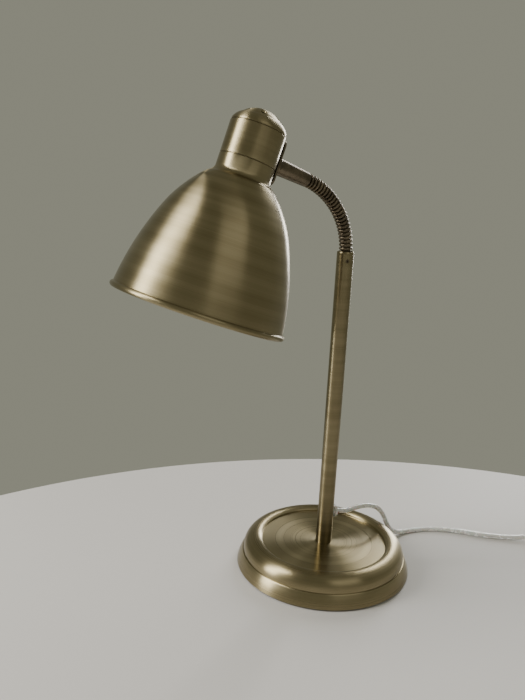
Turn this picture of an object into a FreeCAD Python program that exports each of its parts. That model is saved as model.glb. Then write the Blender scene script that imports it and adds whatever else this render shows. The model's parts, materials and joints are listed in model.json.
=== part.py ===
import FreeCAD, Part
import math
import os
import re
import Sketcher
from FreeCAD import Placement, Rotation, Vector

# A gooseneck desk lamp in millimetres: +Z up, origin on the table under the stem.
# The stem stands on +Z, the hose bends in the XZ plane and carries the shade towards -X.

SIZES = {
    # foot
    "base_radius": 85.0,
    "sheet_wall": 1.2,
    "felt_in": 1.8,
    "felt_thick": 1.6,
    "skirt_top": 14.4,
    "skirt_in": 4.8,
    "skirt_round": 38.0,
    "groove_deep": 0.9,
    "groove_high": 1.0,
    "crown_in": 17.5,
    "crown_high": 28.8,
    "crown_round": 13.0,
    "lip_round": 7.0,
    "disc_in": 23.5,
    "lip_high": 26.6,
    "disc_high": 24.6,
    "weight_in": 1.5,
    "weight_thick": 10.0,
    "post_radius": 5.0,
    "post_ring": 45.0,
    "plate_thick": 1.2,
    "plate_in": 2.4,
    "plate_screw_radius": 1.6,
    "plate_screw_long": 8.0,
    "pan_radius": 3.2,
    "pan_high": 1.3,
    # stem
    "stem_radius": 7.7,
    "stem_wall": 1.5,
    "stem_top": 313.0,
    "stem_chamfer": 1.0,
    "stud_radius": 5.0,
    "stud_up": 24.0,
    "stud_down": 17.0,
    "nut_thick": 5.0,
    "nut_radius": 8.0,
    "shank_long": 22.0,
    "shank_low": 1.2,
    "fit_gap": 0.05,
    "grub_radius": 1.7,
    "grub_socket": 0.8,
    "grub_sunk": 0.3,
    "grub_below": 8.0,
    "grub_turn": -111.0,
    # gooseneck hose
    "hose_long": 84.4,
    "hose_bend": 71.1,
    "hose_bias": -0.15,
    "hose_radius": 6.1,
    "hinge_above": 1.0,
    "bead_half": 1.25,
    "skirt_radius": 5.05,
    "skirt_low": 1.3,
    "ball_radius": 4.2,
    "ball_gap": 0.25,
    "ball_over": 0.68,
    "socket_deep": 1.52,
    "hose_bore": 3.0,
    # ferrule and bracket
    "head_reach": 60.95,
    "ferrule_small": 6.2,
    "ferrule_big": 7.8,
    "nipple_radius": 5.0,
    "nipple_bore": 3.3,
    "bracket_thick": 1.6,
    "bracket_half": 8.5,
    "bracket_up": 20.5,
    "bracket_down": 17.2,
    "bracket_screw_gap": 11.5,
    "bracket_screw_radius": 1.5,
    "lock_nut_radius": 7.0,
    "lock_nut_thick": 3.0,
    # shade head, stations measured down the shade's axis from the ferrule's line
    "neck_radius": 23.4,
    "neck_wall": 1.0,
    "sleeve_top": 26.2,
    "sleeve_low": 6.3,
    "joint_lap": 5.0,
    "seam_gap": 0.6,
    "notch_half": 9.0,
    "waist_low": 17.5,
    "waist_round": 9.0,
    "shoulder_out": 4.8,
    "shoulder_low": 23.0,
    "shoulder_round": 110.0,
    "hip_radius": 52.0,
    "hip_low": 56.0,
    "hip_round": 252.0,
    "rim_low": 134.6,
    "rim_radius": 74.1,
    "bead_radius": 2.4,
    "shade_wall": 1.0,
    "cap_in": 0.4,
    "cap_band": 1.4,
    "cap_shoulder_in": 6.4,
    "cap_shoulder_up": 5.9,
    "cap_shoulder_round": 7.5,
    "cap_up": 9.2,
    "vent_radius": 2.2,
    "vent_ring": 13.6,
    "vent_count": 6.0,
    # lampholder and lamp
    "holder_radius": 13.6,
    "holder_top": 19.0,
    "holder_low": 22.0,
    "holder_wall": 2.2,
    "holder_floor": 4.0,
    "thread_radius": 7.0,
    "thread_wall": 0.4,
    "thread_long": 22.0,
    "strap_thick": 1.5,
    "strap_half": 6.4,
    "strap_below": 6.0,
    "strap_inset": 1.1,
    "nipple_past": 0.5,
    "bulb_radius": 22.5,
    "bulb_long": 78.0,
    "bulb_neck": 10.6,
    "bulb_glass": 1.0,
    # mains lead
    "cord_radius": 2.5,
    "core_radius": 1.1,
    "core_apart": 1.3,
    "gland_high": 55.2,
    "gland_radius": 6.3,
    "gland_thick": 3.0,
    "gland_body": 4.8,
    "coil_radius": 27.5,
    "coil_half": 7.5,
    "coil_lift": 0.9,
    "lead_show": 10.0,
    "lead_hidden": 4.0,
    "tie_thick": 0.8,
    "tie_wide": 9.0,
    # in-line switch
    "switch_long": 56.0,
    "switch_wide": 26.0,
    "switch_high": 17.0,
    "switch_split": 8.5,
    "switch_round": 6.0,
    "switch_wall": 2.0,
    "switch_neck": 9.0,
    "switch_screw_in": 7.0,
    "switch_screw_aside": 7.0,
    "rocker_long": 19.0,
    "rocker_wide": 11.0,
    "rocker_gap": 0.5,
    "rocker_tip": 6.5,
    # plug
    "plug_long": 36.0,
    "plug_wide": 26.0,
    "plug_high": 13.8,
    "plug_relief": 22.0,
    "pin_radius": 2.0,
    "pin_long": 19.0,
    "pin_apart": 19.0,
}

HOSE_HINGES = 24

# Where the lead runs from the gland to the switch: points of the route, chosen by hand.
CORD_ROUTE = [
    (10.7, 0.0, 55.2),
    (18.5, 0.0, 52.8),
    (28.5, 0.1, 51.0),
    (40.0, 0.3, 52.1),
    (52.0, 0.8, 51.0),
    (63.0, 1.6, 47.4),
    (72.5, 2.6, 41.2),
    (80.0, 3.8, 32.0),
    (86.5, 5.2, 20.4),
    (95.0, 6.8, 9.4),
    (108.0, 7.8, 2.7),
    (124.0, 6.6, 2.5),
    (141.0, 1.6, 2.5),
    (157.0, -7.4, 2.5),
    (172.5, -20.4, 2.5),
    (187.0, -36.6, 2.5),
    (204.5, -50.8, 2.5),
    (223.0, -63.4, 3.6),
    (240.0, -74.6, 8.5),
    (253.0, -85.0, 8.5),
]
# The switch and the coil stand on the line that the route ends along.
LEAD_END = Vector(253.0, -85.0, 0.0)
LEAD_TURN = -38.66

doc = FreeCAD.newDocument("gooseneck_lamp")
sheet = doc.addObject("Spreadsheet::Sheet", "sizes")
for row, (alias, size) in enumerate(SIZES.items(), start=1):
    sheet.set("A%d" % row, alias)
    sheet.set("B%d" % row, repr(size))
    sheet.setAlias("B%d" % row, alias)
doc.recompute()

WORD = re.compile(r"\b(%s)\b" % "|".join(SIZES))


def bound(text):
    """An expression that names sizes, written out for the sheet."""
    return WORD.sub(r"sizes.\1", str(text))


def val(text):
    """The plain number that an expression has now."""
    answer = sheet.evalExpression(bound(text))
    return float(getattr(answer, "Value", answer))


def bind(thing, path, text):
    thing.setExpression(path, bound(text))


def origin_plane(body, role):
    return next(item for item in body.Origin.OriginFeatures if item.Role == role)


def new_body(name):
    body = doc.addObject("PartDesign::Body", name)
    body.Label = name
    return body


def sketch_on(body, role, name, lift="0"):
    """A sketch on one of the body's own planes, lifted along the plane's normal."""
    sketch = body.newObject("Sketcher::SketchObject", name)
    sketch.AttachmentSupport = [(origin_plane(body, role), "")]
    sketch.MapMode = "FlatFace"
    bind(sketch, "AttachmentOffset.Base.z", lift)
    return sketch


def arc_between(start, end, radius, side):
    """The short arc of that radius; side +1 bulges to the right of start-to-end."""
    chord = end - start
    middle = (start + end) * 0.5
    half = chord.Length / 2
    right = Vector(chord.y, -chord.x, 0) / chord.Length
    sag = radius - math.sqrt(max(radius * radius - half * half, 0.0))
    return Part.Arc(start, middle + right * (side * sag), end)


def pin_point(sketch, geo, which, x_text, y_text):
    """Hold one end of a line or arc at two distances from the sketch's origin."""
    for kind, text in (("DistanceX", x_text), ("DistanceY", y_text)):
        index = sketch.addConstraint(Sketcher.Constraint(kind, -1, 1, geo, which, val(text)))
        bind(sketch, "Constraints[%d]" % index, text)


def draw_loop(sketch, corners, arcs=None):
    """A closed outline. corners are pairs of expressions, arcs is {corner: (radius, side)}."""
    arcs = arcs or {}
    points = [Vector(val(x), val(y), 0) for x, y in corners]
    first = len(sketch.Geometry)
    count = len(points)
    ends = []
    for index, start in enumerate(points):
        end = points[(index + 1) % count]
        if index in arcs:
            radius, side = arcs[index]
            arc = arc_between(start, end, val(radius), side)
            geo = sketch.addGeometry(arc, False)
            forward = sketch.getPoint(geo, 1).distanceToPoint(start) < 1e-6
            ends.append((1, 2) if forward else (2, 1))
        else:
            sketch.addGeometry(Part.LineSegment(start, end), False)
            ends.append((1, 2))
    for index in range(count):
        geo = first + index
        after = first + (index + 1) % count
        sketch.addConstraint(
            Sketcher.Constraint("Coincident", geo, ends[index][1], after, ends[after - first][0])
        )
        pin_point(sketch, geo, ends[index][0], *corners[index])
        if index in arcs:
            radius = arcs[index][0]
            mark = sketch.addConstraint(Sketcher.Constraint("Radius", geo, val(radius)))
            bind(sketch, "Constraints[%d]" % mark, radius)


def draw_circle(sketch, x_text, y_text, radius):
    centre = Vector(val(x_text), val(y_text), 0)
    geo = sketch.addGeometry(Part.Circle(centre, Vector(0, 0, 1), val(radius)), False)
    pin_point(sketch, geo, 3, x_text, y_text)
    mark = sketch.addConstraint(Sketcher.Constraint("Radius", geo, val(radius)))
    bind(sketch, "Constraints[%d]" % mark, radius)


def rectangle(low_x, low_y, high_x, high_y):
    return [(low_x, low_y), (high_x, low_y), (high_x, high_y), (low_x, high_y)]


def spin(body, name, corners, arcs=None):
    """Turn an outline of (radius, height) pairs about the body's Z axis."""
    sketch = sketch_on(body, "XZ_Plane", name + "_outline")
    draw_loop(sketch, corners, arcs)
    turned = body.newObject("PartDesign::Revolution", name)
    turned.Profile = sketch
    turned.ReferenceAxis = (sketch, ["V_Axis"])
    turned.Angle = 360
    sketch.Visibility = False
    return turned


def spun(name, corners, arcs=None):
    body = new_body(name)
    spin(body, name + "_turned", corners, arcs)
    return body


def pad(body, sketch, name, length, reverse=False, middle=False):
    feature = body.newObject("PartDesign::Pad", name)
    feature.Profile = sketch
    bind(feature, "Length", length)
    feature.Reversed = reverse
    feature.Midplane = middle
    return feature


def pocket(body, sketch, name, length=None, reverse=False, middle=False):
    """Cut a sketch away; without a length it cuts through everything on that side."""
    feature = body.newObject("PartDesign::Pocket", name)
    feature.Profile = sketch
    if length is None:
        feature.Type = "ThroughAll"
    else:
        bind(feature, "Length", length)
    feature.Reversed = reverse
    feature.Midplane = middle
    return feature


def polar(body, feature, name, count):
    """Repeat a feature about the body's Z axis."""
    pattern = body.newObject("PartDesign::PolarPattern", name)
    pattern.Originals = [feature]
    pattern.Axis = (origin_plane(body, "Z_Axis"), [""])
    pattern.Angle = 360
    bind(pattern, "Occurrences", count)
    body.Tip = pattern
    return pattern


def rounded_box(body, name, corners, radius, height, lift="0"):
    """A pad on XY whose upright edges are rounded."""
    sketch = sketch_on(body, "XY_Plane", name + "_outline", lift)
    draw_loop(sketch, corners)
    block = pad(body, sketch, name + "_block", height)
    doc.recompute()
    upright = []
    for index, edge in enumerate(block.Shape.Edges, start=1):
        ends = [vertex.Point for vertex in edge.Vertexes]
        if len(ends) == 2 and abs(ends[0].z - ends[1].z) > 0.5 * edge.Length:
            upright.append("Edge%d" % index)
    fillet = body.newObject("PartDesign::Fillet", name + "_rounds")
    fillet.Base = (block, upright)
    bind(fillet, "Radius", radius)
    return fillet


def grouped(name, pieces):
    """Separate solids that share one node."""
    group = doc.addObject("Part::Compound", name)
    group.Links = pieces
    group.Label = name
    return group


def at(x, y, z, axis=Vector(0, 0, 1), angle=0.0):
    return Placement(Vector(x, y, z), Rotation(axis, angle))


PARTS = []


def keep(body, place=None):
    """Put a finished sub-part in its place and on the list that is written out."""
    if place is not None:
        body.Placement = place
    PARTS.append(body)
    return body


# ---------------------------------------------------------------- foot

def make_felt():
    body = new_body("felt_pad")
    sketch = sketch_on(body, "XY_Plane", "felt_outline")
    draw_circle(sketch, "0", "0", "base_radius - felt_in")
    pad(body, sketch, "felt_disc", "felt_thick")
    hole = sketch_on(body, "XY_Plane", "felt_hole")
    draw_circle(hole, "post_ring", "0", "pan_radius + 1")
    cut = pocket(body, hole, "felt_cut", reverse=True)
    polar(body, cut, "felt_cuts", "3")
    keep(body)


def make_base_plate():
    body = new_body("base_plate")
    sketch = sketch_on(body, "XY_Plane", "plate_outline", "felt_thick")
    draw_circle(sketch, "0", "0", "base_radius - plate_in")
    pad(body, sketch, "plate_disc", "plate_thick")
    hole = sketch_on(body, "XY_Plane", "plate_hole", "felt_thick")
    draw_circle(hole, "post_ring", "0", "plate_screw_radius + 0.3")
    cut = pocket(body, hole, "plate_cut", reverse=True)
    polar(body, cut, "plate_cuts", "3")
    keep(body)


def make_plate_screws():
    body = spun("base_plate_screw", [
        ("0", "felt_thick - pan_high"),
        ("pan_radius", "felt_thick - pan_high"),
        ("pan_radius", "felt_thick"),
        ("plate_screw_radius", "felt_thick"),
        ("plate_screw_radius", "felt_thick + plate_screw_long"),
        ("0", "felt_thick + plate_screw_long"),
    ])
    copies = []
    for index in range(3):
        angle = 120.0 * index
        copy = doc.addObject("App::Link", "base_plate_screw_%d" % (index + 1))
        copy.LinkedObject = body
        spot = Rotation(Vector(0, 0, 1), angle).multVec(Vector(val("post_ring"), 0, 0))
        copy.Placement = Placement(spot, Rotation())
        copies.append(copy)
    keep(grouped("base_plate_screws", copies))


def make_base_weight():
    body = new_body("base_weight")
    under = "disc_high - sheet_wall - weight_thick"
    sketch = sketch_on(body, "XY_Plane", "weight_outline", under)
    draw_circle(sketch, "0", "0", "base_radius - disc_in - weight_in")
    draw_circle(sketch, "0", "0", "stud_radius + 0.2")
    pad(body, sketch, "weight_disc", "weight_thick")
    post = sketch_on(body, "XY_Plane", "post_outline", under)
    draw_circle(post, "post_ring", "0", "post_radius")
    stub = pad(body, post, "post", under + " - felt_thick - plate_thick", reverse=True)
    polar(body, stub, "posts", "3")
    bore = sketch_on(body, "XY_Plane", "post_bore_outline", "felt_thick + plate_thick")
    draw_circle(bore, "post_ring", "0", "plate_screw_radius + fit_gap")
    cut = pocket(body, bore, "post_bore", "plate_screw_long", reverse=True)
    polar(body, cut, "post_bores", "3")
    keep(body)


def make_base_shell():
    outer = [
        ("base_radius", "felt_thick"),
        ("base_radius - skirt_in", "skirt_top"),
        ("base_radius - skirt_in - groove_deep", "skirt_top"),
        ("base_radius - skirt_in - groove_deep", "skirt_top + groove_high"),
        ("base_radius - crown_in", "crown_high"),
        ("base_radius - disc_in", "lip_high"),
        ("base_radius - disc_in", "disc_high"),
        ("stud_radius + 0.2", "disc_high"),
    ]
    inner = [
        ("stud_radius + 0.2", "disc_high - sheet_wall"),
        ("base_radius - disc_in + sheet_wall", "disc_high - sheet_wall"),
        ("base_radius - disc_in + sheet_wall", "lip_high - sheet_wall"),
        ("base_radius - crown_in", "crown_high - sheet_wall"),
        ("base_radius - skirt_in - groove_deep - sheet_wall", "skirt_top + groove_high"),
        ("base_radius - skirt_in - groove_deep - sheet_wall", "skirt_top - 0.6"),
        ("base_radius - sheet_wall", "felt_thick"),
    ]
    arcs = {
        0: ("skirt_round", 1),
        3: ("crown_round", 1),
        4: ("lip_round", 1),
        10: ("lip_round - sheet_wall", -1),
        11: ("crown_round - sheet_wall", -1),
    }
    keep(spun("base_shell", outer + inner, arcs))


# ---------------------------------------------------------------- stem

def make_stem():
    body = spun("stem_tube", [
        ("stem_radius - stem_wall", "disc_high"),
        ("stem_radius", "disc_high"),
        ("stem_radius", "stem_top - stem_chamfer"),
        ("stem_radius - stem_chamfer / 2", "stem_top"),
        ("stem_radius - stem_wall", "stem_top"),
    ])
    side = sketch_on(body, "YZ_Plane", "gland_hole")
    draw_circle(side, "0", "gland_high", "gland_body + fit_gap")
    pocket(body, side, "gland_cut", reverse=True)
    drill_for_grub(body)
    keep(body)


def make_foot_stud():
    inside = "stem_radius - stem_wall - fit_gap"
    keep(spun("foot_stud", [
        ("0", "disc_high - stud_down"),
        ("stud_radius", "disc_high - stud_down"),
        ("stud_radius", "disc_high"),
        (inside, "disc_high"),
        (inside, "disc_high + stud_up"),
        ("0", "disc_high + stud_up"),
    ]))


def hexagon(radius):
    return [
        ("%s * %.9f" % (radius, math.cos(math.radians(60 * k))),
         "%s * %.9f" % (radius, math.sin(math.radians(60 * k))))
        for k in range(6)
    ]


def make_foot_nut():
    body = new_body("foot_nut")
    under = "disc_high - sheet_wall - weight_thick - nut_thick"
    sketch = sketch_on(body, "XY_Plane", "foot_nut_outline", under)
    draw_loop(sketch, hexagon("nut_radius * 1.2"))
    draw_circle(sketch, "0", "0", "stud_radius + fit_gap")
    pad(body, sketch, "foot_nut_block", "nut_thick")
    keep(body)


def grub_place():
    turn = Rotation(Vector(0, 0, 1), val("grub_turn"))
    out = turn.multVec(Vector(val("stem_radius - stem_wall"), 0, 0))
    lie = turn.multiply(Rotation(Vector(0, 1, 0), 90))
    return Placement(out + Vector(0, 0, val("stem_top - grub_below")), lie)


def make_grub_screw():
    """The set screw lies along a radius, through the stem, against the hose's shank."""
    body = spun("stem_grub_screw", [
        ("0", "0"),
        ("grub_radius", "0"),
        ("grub_radius", "stem_wall - grub_sunk"),
        ("grub_socket", "stem_wall - grub_sunk"),
        ("grub_socket", "0.3"),
        ("0", "0.3"),
    ])
    keep(body, grub_place())


def drill_for_grub(body):
    """A radial hole for the set screw, cut on a plane turned about Z."""
    sketch = body.newObject("Sketcher::SketchObject", body.Label + "_grub_hole")
    sketch.AttachmentSupport = [(origin_plane(body, "YZ_Plane"), "")]
    sketch.MapMode = "FlatFace"
    sketch.AttachmentOffset = Placement(Vector(), Rotation(Vector(0, 1, 0), val("grub_turn")))
    draw_circle(sketch, "0", "stem_top - grub_below", "grub_radius + fit_gap")
    pocket(body, sketch, body.Label + "_grub_cut", reverse=True)


# ---------------------------------------------------------------- gooseneck

def hose_angles():
    """How far each hinge is bent at rest, in degrees; the bend eases off along the hose."""
    bend = val("hose_bend")
    bias = val("hose_bias")
    count = HOSE_HINGES
    return [bend / count * (1 + bias * (2 * k + 1 - count) / count) for k in range(count)]


def hose_frames():
    """A Placement at each hinge, its Z axis along the hose after that hinge."""
    pitch = val("hose_long") / HOSE_HINGES
    spot = Vector(0, 0, val("stem_top + hinge_above"))
    turned = 0.0
    frames = []
    for angle in hose_angles():
        turned += angle
        turn = Rotation(Vector(0, 1, 0), -turned)
        frames.append(Placement(spot, turn))
        spot = spot + turn.multVec(Vector(0, 0, pitch))
    return frames


def ball_height(radius, above):
    """The radius of a ball of that size at a height above its middle, as an expression."""
    return "sqrt((%s) * (%s) - (%s) * (%s))" % (radius, radius, above, above)


def make_hose_root():
    """The fixed end of the hose: a shank that fits the stem, with a ball on top."""
    middle = "stem_top + hinge_above"
    neck = "0.77"
    shank = "stem_radius - stem_wall - fit_gap"
    keep(spun("hose_root", [
        ("hose_bore", "stem_top - shank_long"),
        (shank, "stem_top - shank_long"),
        (shank, "stem_top - shank_low"),
        ("ball_radius", "stem_top - shank_low"),
        (ball_height("ball_radius", neck), middle + " - " + neck),
        (ball_height("ball_radius", "ball_over"), middle + " + ball_over"),
        ("hose_bore", middle + " + ball_over"),
    ], {4: ("ball_radius", 1)}))


def make_hose_ring(number, frame, pitch):
    """One turn of the hose about its lower hinge: a bead, a socket below and a ball above."""
    socket = "ball_radius + ball_gap"
    body = spun("gooseneck_ring_%02d" % number, [
        (ball_height(socket, "%s / 2 - skirt_low" % pitch), "%s / 2 - skirt_low" % pitch),
        ("skirt_radius", "%s / 2 - skirt_low" % pitch),
        ("skirt_radius + 0.1", "%s / 2 - bead_half" % pitch),
        ("skirt_radius + 0.1", "%s / 2 + bead_half" % pitch),
        (ball_height("ball_radius", "%s / 2 - bead_half" % pitch), "%s / 2 + bead_half" % pitch),
        (ball_height("ball_radius", "ball_over"), "%s + ball_over" % pitch),
        ("hose_bore", "%s + ball_over" % pitch),
        ("hose_bore", "socket_deep"),
        (ball_height(socket, "socket_deep"), "socket_deep"),
    ], {
        2: ("(bead_half^2 + (hose_radius - skirt_radius - 0.1)^2)"
            " / (2 * (hose_radius - skirt_radius - 0.1))", 1),
        4: ("ball_radius", 1),
        8: (socket, -1),
    })
    keep(body, frame)


def make_ferrule(frame):
    """The tapered end of the hose: a socket for the last ring and a threaded nipple."""
    socket = "ball_radius + ball_gap"
    face = "head_reach - neck_radius - bracket_thick"
    low = "hose_long / %d / 2 - skirt_low" % HOSE_HINGES
    end = face + (" + bracket_thick + neck_wall + strap_inset + strap_thick"
                  " + lock_nut_thick + nipple_past")
    body = spun("gooseneck_ferrule", [
        (ball_height(socket, low), low),
        ("ferrule_small - 0.5", low),
        ("ferrule_small", low + " + 0.8"),
        ("ferrule_big - 0.6", face + " - 3"),
        ("ferrule_big", face + " - 2"),
        ("ferrule_big", face),
        ("nipple_radius", face),
        ("nipple_radius", end),
        ("nipple_bore", end),
        ("nipple_bore", "socket_deep"),
        (ball_height(socket, "socket_deep"), "socket_deep"),
    ], {10: (socket, -1)})
    keep(body, frame)


# ---------------------------------------------------------------- head

def head_frame(last):
    """The shade's frame: Z up its axis, X back along the ferrule, origin on the axis."""
    along = last.Rotation.multVec(Vector(0, 0, 1))
    turn = Rotation(Vector(0, 1, 0), 90 - val("hose_bend"))
    return Placement(last.Base + along * val("head_reach"), turn)


def plate_face_cut(body, name, height, radius):
    """A hole along the head's X axis, through the wall on the ferrule's side."""
    sketch = sketch_on(body, "YZ_Plane", name + "_outline")
    draw_circle(sketch, "0", height, radius)
    pocket(body, sketch, name, reverse=True)


def make_bracket(place):
    body = new_body("neck_bracket")
    sketch = sketch_on(body, "YZ_Plane", "bracket_outline", "neck_radius")
    draw_loop(sketch, rectangle(
        "-bracket_half", "-bracket_down", "bracket_half", "bracket_up"))
    block = pad(body, sketch, "bracket_block", "bracket_thick")
    doc.recompute()
    corners = []
    for index, edge in enumerate(block.Shape.Edges, start=1):
        ends = [vertex.Point for vertex in edge.Vertexes]
        if abs(ends[0].x - ends[1].x) > 0.5 * edge.Length:
            corners.append("Edge%d" % index)
    fillet = body.newObject("PartDesign::Fillet", "bracket_rounds")
    fillet.Base = (block, corners)
    bind(fillet, "Radius", "bracket_half * 0.6")
    for name, height, radius in (
        ("bracket_nipple_hole", "0", "nipple_radius + 0.1"),
        ("bracket_upper_hole", "bracket_screw_gap", "bracket_screw_radius + 0.2"),
        ("bracket_lower_hole", "-bracket_screw_gap", "bracket_screw_radius + 0.2"),
    ):
        plate_face_cut(body, name, height, radius)
    keep(body, place)


def make_bracket_screws(place):
    """Two round-headed screws that hold the bracket to the sleeve and to the bell."""
    body = spun("bracket_screw", [
        ("0", "-neck_wall - 4"),
        ("bracket_screw_radius", "-neck_wall - 4"),
        ("bracket_screw_radius", "bracket_thick"),
        ("bracket_screw_radius * 1.8", "bracket_thick"),
        ("bracket_screw_radius * 1.8", "bracket_thick + 0.5"),
        ("bracket_screw_radius", "bracket_thick + 1.5"),
        ("0", "bracket_thick + 1.8"),
    ])
    copies = []
    for index, side in enumerate((1, -1), start=1):
        copy = doc.addObject("App::Link", "bracket_screw_%d" % index)
        copy.LinkedObject = body
        copy.Placement = at(
            val("neck_radius"), 0, side * val("bracket_screw_gap"), Vector(0, 1, 0), 90)
        copies.append(copy)
    keep(grouped("bracket_screws", copies), place)


def make_shade_bell(place):
    """The spun bell: collar, waist, bullet-shaped side and a rolled rim, open below."""
    inner_neck = "neck_radius - neck_wall - fit_gap"
    seam = "-sleeve_low - seam_gap"
    rim_z = "bead_radius - rim_low"
    body = spun("shade_bell", [
        (inner_neck, "joint_lap - sleeve_low"),
        (inner_neck + " - shade_wall", "joint_lap - sleeve_low"),
        (inner_neck + " - shade_wall", "-waist_low - 0.4"),
        ("neck_radius + shoulder_out - 0.8 * shade_wall", "-shoulder_low - 0.7 * shade_wall"),
        ("hip_radius - 0.9 * shade_wall", "-hip_low - 0.45 * shade_wall"),
        ("rim_radius - bead_radius - shade_wall / 2", rim_z),
        ("rim_radius - bead_radius + shade_wall / 2", rim_z),
        ("hip_radius", "-hip_low"),
        ("neck_radius + shoulder_out", "-shoulder_low"),
        ("neck_radius", "-waist_low"),
        ("neck_radius", seam),
        (inner_neck, seam),
    ], {
        2: ("waist_round + shade_wall", 1),
        3: ("shoulder_round - shade_wall", -1),
        4: ("hip_round - shade_wall", -1),
        6: ("hip_round", 1),
        7: ("shoulder_round", 1),
        8: ("waist_round", -1),
    })
    bead = sketch_on(body, "XZ_Plane", "bead_outline")
    draw_circle(bead, "rim_radius - bead_radius", rim_z, "bead_radius")
    roll = body.newObject("PartDesign::Revolution", "rolled_rim")
    roll.Profile = bead
    roll.ReferenceAxis = (bead, ["V_Axis"])
    roll.Angle = 360
    notch = sketch_on(body, "YZ_Plane", "nut_notch_outline")
    draw_loop(notch, rectangle(
        "-notch_half", seam + " + 0.1", "notch_half", "joint_lap"))
    pocket(body, notch, "nut_notch", reverse=True)
    plate_face_cut(body, "lower_screw_hole", "-bracket_screw_gap", "bracket_screw_radius + 0.1")
    keep(body, place)


def make_neck_sleeve(place):
    body = spun("neck_sleeve", [
        ("neck_radius - neck_wall", "-sleeve_low"),
        ("neck_radius", "-sleeve_low"),
        ("neck_radius", "sleeve_top"),
        ("neck_radius - neck_wall", "sleeve_top"),
    ])
    plate_face_cut(body, "nipple_hole", "0", "nipple_radius + 0.1")
    plate_face_cut(body, "upper_screw_hole", "bracket_screw_gap", "bracket_screw_radius + 0.1")
    keep(body, place)


def make_vent_cap(place):
    """The domed top, plugged into the sleeve, with a ring of vent holes."""
    plug = "neck_radius - neck_wall - fit_gap"
    rise = "(cap_up - cap_shoulder_up)"
    dome = "((%s)^2 + %s^2) / (2 * %s)"
    low = "sleeve_top + seam_gap"
    body = spun("vent_cap", [
        (plug, "sleeve_top - joint_lap"),
        (plug, low),
        ("neck_radius - cap_in", low),
        ("neck_radius - cap_in", low + " + cap_band"),
        ("neck_radius - cap_shoulder_in", low + " + cap_shoulder_up"),
        ("0", low + " + cap_up"),
        ("0", low + " + cap_up - neck_wall"),
        ("neck_radius - cap_shoulder_in - neck_wall", low + " + cap_shoulder_up - neck_wall"),
        (plug + " - neck_wall", low + " + cap_band - neck_wall"),
        (plug + " - neck_wall", "sleeve_top - joint_lap"),
    ], {
        3: ("cap_shoulder_round", 1),
        4: (dome % ("neck_radius - cap_shoulder_in", rise, rise), 1),
        6: (dome % ("neck_radius - cap_shoulder_in - neck_wall", rise, rise), -1),
        7: ("cap_shoulder_round - neck_wall", -1),
    })
    hole = sketch_on(body, "XY_Plane", "vent_outline", low)
    draw_circle(hole, "vent_ring", "0", "vent_radius")
    cut = pocket(body, hole, "vent", reverse=True)
    polar(body, cut, "vents", "vent_count")
    keep(body, place)


def make_lock_nut(place):
    """The nut on the ferrule's nipple, inside the sleeve, against the strap."""
    body = new_body("ferrule_nut")
    inside = "neck_radius - neck_wall - strap_inset - strap_thick - lock_nut_thick"
    sketch = sketch_on(body, "YZ_Plane", "ferrule_nut_outline", inside)
    draw_loop(sketch, hexagon("lock_nut_radius"))
    draw_circle(sketch, "0", "0", "nipple_radius + fit_gap")
    pad(body, sketch, "ferrule_nut_block", "lock_nut_thick")
    keep(body, place)


def make_holder_strap(place):
    """A bent strip: one leg on the nipple, one leg over the lampholder."""
    body = new_body("holder_strap")
    outer = "neck_radius - neck_wall - strap_inset"
    sketch = sketch_on(body, "XZ_Plane", "strap_outline")
    draw_loop(sketch, [
        (outer + " - strap_thick", "-strap_below"),
        (outer, "-strap_below"),
        (outer, "holder_top"),
        (outer + " - strap_thick", "holder_top + strap_thick"),
        ("-strap_half", "holder_top + strap_thick"),
        ("-strap_half", "holder_top"),
        (outer + " - strap_thick", "holder_top"),
    ])
    pad(body, sketch, "strap_block", "strap_half * 2", middle=True)
    plate_face_cut(body, "strap_nipple_hole", "0", "nipple_radius + 0.1")
    plate_face_cut(body, "strap_side_hole", "bracket_screw_gap", "bracket_screw_radius + 0.2")
    hole = sketch_on(body, "XY_Plane", "strap_screw_outline", "holder_top - 1")
    draw_circle(hole, "0", "0", "bracket_screw_radius + 0.1")
    pocket(body, hole, "strap_screw_hole", reverse=True)
    keep(body, place)


def make_holder_screw(place):
    """The screw that hangs the lampholder from the strap."""
    top = "holder_top + strap_thick"
    keep(spun("holder_screw", [
        ("0", "holder_top - holder_floor + 1"),
        ("bracket_screw_radius", "holder_top - holder_floor + 1"),
        ("bracket_screw_radius", top),
        ("bracket_screw_radius * 1.9", top),
        ("bracket_screw_radius * 1.9", top + " + 0.6"),
        ("0", top + " + 2.2"),
    ]), place)


def make_holder_body(place):
    """The moulded lampholder: a cup, open below, round a threaded metal shell."""
    low = "-holder_low"
    keep(spun("holder_body", [
        ("bracket_screw_radius + fit_gap", "holder_top - holder_floor"),
        ("holder_radius - holder_wall", "holder_top - holder_floor"),
        ("holder_radius - holder_wall", low),
        ("holder_radius", low),
        ("holder_radius", "holder_top - 2"),
        ("holder_radius - 2", "holder_top"),
        ("bracket_screw_radius + fit_gap", "holder_top"),
    ]), place)


def make_holder_shell(place):
    """The threaded metal shell, its insulating disc and flange inside the cup."""
    top = "thread_long / 2 - 5"
    low = "-thread_long / 2 - 5"
    keep(spun("holder_shell", [
        ("thread_radius + 0.2", low),
        ("thread_radius + 0.2 + thread_wall", low),
        ("thread_radius + 0.2 + thread_wall", top),
        ("holder_radius - holder_wall - fit_gap", top),
        ("holder_radius - holder_wall - fit_gap", top + " + 3"),
        ("2.5", top + " + 3"),
        ("2.5", top + " + 1.5"),
        ("thread_radius + 0.2", top + " + 1.5"),
    ]), place)


def make_holder_contact(place):
    """The sprung middle contact that meets the lamp's tip."""
    top = "thread_long / 2 - 5"
    keep(spun("holder_contact", [
        ("0", top + " + 0.4"),
        ("2.2", top + " + 0.4"),
        ("2.2", top + " + 6"),
        ("0", top + " + 6"),
    ]), place)


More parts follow.
